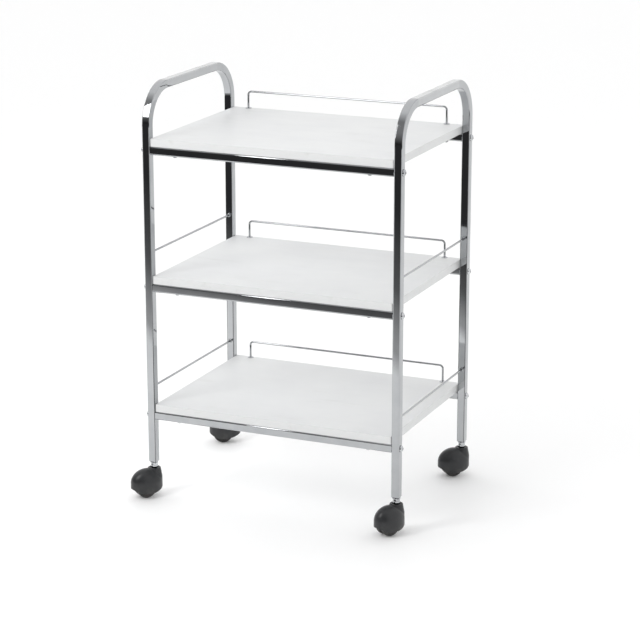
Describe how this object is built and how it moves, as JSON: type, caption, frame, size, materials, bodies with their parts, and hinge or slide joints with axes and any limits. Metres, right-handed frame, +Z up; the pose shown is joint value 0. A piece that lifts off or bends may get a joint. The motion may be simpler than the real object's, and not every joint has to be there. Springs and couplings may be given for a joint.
{
  "type": "rolling salon trolley",
  "caption": "Chromed square-tube trolley with white shelves, arched handles, wire rails and hooded swivel castors.",
  "frame": {"origin": "on the floor, midway between the four castor stems, where the four pairs of wheels stand on z = 0", "axes": "+Z up; -Y towards the front, which has no back wire; +X to the right as seen from the front"},
  "size_m": [0.5739, 0.4182, 0.811],
  "materials": {
    "chromed_tube": "bright chrome plate on drawn steel tube",
    "chromed_wire": "bright chrome plate on steel wire",
    "chromed_bolt": "bright chrome plate on cold-headed steel",
    "chromed_socket": "chrome plate on pressed steel",
    "zinc_steel": "zinc-plated steel",
    "melamine_board": "white melamine face on particle board, satin",
    "board_edging": "white PVC edge band, satin",
    "black_nylon": "moulded black nylon",
    "castor_plastic": "moulded charcoal nylon, fine satin texture",
    "wheel_plastic": "moulded charcoal nylon"
  },
  "bodies": {
    "trolley": {"left_frame": "chromed_tube", "right_frame": "chromed_tube", "bottom_front_rail": "chromed_tube", "bottom_back_rail": "chromed_tube", "middle_front_rail": "chromed_tube", "middle_back_rail": "chromed_tube", "top_front_rail": "chromed_tube", "top_back_rail": "chromed_tube", "bottom_board": "melamine_board", "bottom_board_edging": "board_edging", "bottom_back_wire": "chromed_wire", "middle_board": "melamine_board", "middle_board_edging": "board_edging", "middle_back_wire": "chromed_wire", "top_board": "melamine_board", "top_board_edging": "board_edging", "top_back_wire": "chromed_wire", "bottom_left_wire": "chromed_wire", "bottom_right_wire": "chromed_wire", "middle_left_wire": "chromed_wire", "middle_right_wire": "chromed_wire", "wire_flanges": "chromed_wire", "side_wire_collars": "chromed_wire", "wire_nuts": "zinc_steel", "rail_plugs": "zinc_steel", "rail_bolts": "chromed_bolt", "board_screws": "chromed_bolt", "castor_sockets": "chromed_socket", "leg_inserts": "black_nylon", "front_left_castor_stem": "zinc_steel", "front_right_castor_stem": "zinc_steel", "back_left_castor_stem": "zinc_steel", "back_right_castor_stem": "zinc_steel"},
    "front_left_castor": {"front_left_castor_hood": "castor_plastic", "front_left_castor_axle": "zinc_steel"},
    "front_left_left_wheel": {"front_left_castor_left_wheel": "wheel_plastic"},
    "front_left_right_wheel": {"front_left_castor_right_wheel": "wheel_plastic"},
    "front_right_castor": {"front_right_castor_hood": "castor_plastic", "front_right_castor_axle": "zinc_steel"},
    "front_right_left_wheel": {"front_right_castor_left_wheel": "wheel_plastic"},
    "front_right_right_wheel": {"front_right_castor_right_wheel": "wheel_plastic"},
    "back_left_castor": {"back_left_castor_hood": "castor_plastic", "back_left_castor_axle": "zinc_steel"},
    "back_left_left_wheel": {"back_left_castor_left_wheel": "wheel_plastic"},
    "back_left_right_wheel": {"back_left_castor_right_wheel": "wheel_plastic"},
    "back_right_castor": {"back_right_castor_hood": "castor_plastic", "back_right_castor_axle": "zinc_steel"},
    "back_right_left_wheel": {"back_right_castor_left_wheel": "wheel_plastic"},
    "back_right_right_wheel": {"back_right_castor_right_wheel": "wheel_plastic"}
  },
  "joints": [
    {"name": "front_left_swivel", "type": "hinge", "parent": "trolley", "child": "front_left_castor", "pos_m": [-0.2545, -0.177, 0.0575], "axis": [0, 0, 1], "continuous": true},
    {"name": "front_left_left_roll", "type": "hinge", "parent": "front_left_castor", "child": "front_left_left_wheel", "pos_m": [-0.26712, -0.19315, 0.02], "axis": [0.788, -0.6157, 0], "continuous": true},
    {"name": "front_left_right_roll", "type": "hinge", "parent": "front_left_castor", "child": "front_left_right_wheel", "pos_m": [-0.26712, -0.19315, 0.02], "axis": [0.788, -0.6157, 0], "continuous": true},
    {"name": "front_right_swivel", "type": "hinge", "parent": "trolley", "child": "front_right_castor", "pos_m": [0.2545, -0.177, 0.0575], "axis": [0, 0, 1], "continuous": true},
    {"name": "front_right_left_roll", "type": "hinge", "parent": "front_right_castor", "child": "front_right_left_wheel", "pos_m": [0.24488, -0.1951, 0.02], "axis": [0.8829, -0.4695, 0], "continuous": true},
    {"name": "front_right_right_roll", "type": "hinge", "parent": "front_right_castor", "child": "front_right_right_wheel", "pos_m": [0.24488, -0.1951, 0.02], "axis": [0.8829, -0.4695, 0], "continuous": true},
    {"name": "back_left_swivel", "type": "hinge", "parent": "trolley", "child": "back_left_castor", "pos_m": [-0.2545, 0.177, 0.0575], "axis": [0, 0, 1], "continuous": true},
    {"name": "back_left_left_roll", "type": "hinge", "parent": "back_left_castor", "child": "back_left_left_wheel", "pos_m": [-0.27376, 0.16999, 0.02], "axis": [0.342, -0.9397, 0], "continuous": true},
    {"name": "back_left_right_roll", "type": "hinge", "parent": "back_left_castor", "child": "back_left_right_wheel", "pos_m": [-0.27376, 0.16999, 0.02], "axis": [0.342, -0.9397, 0], "continuous": true},
    {"name": "back_right_swivel", "type": "hinge", "parent": "trolley", "child": "back_right_castor", "pos_m": [0.2545, 0.177, 0.0575], "axis": [0, 0, 1], "continuous": true},
    {"name": "back_right_left_roll", "type": "hinge", "parent": "back_right_castor", "child": "back_right_left_wheel", "pos_m": [0.23927, 0.16328, 0.02], "axis": [0.6691, -0.7431, 0], "continuous": true},
    {"name": "back_right_right_roll", "type": "hinge", "parent": "back_right_castor", "child": "back_right_right_wheel", "pos_m": [0.23927, 0.16328, 0.02], "axis": [0.6691, -0.7431, 0], "continuous": true}
  ]
}
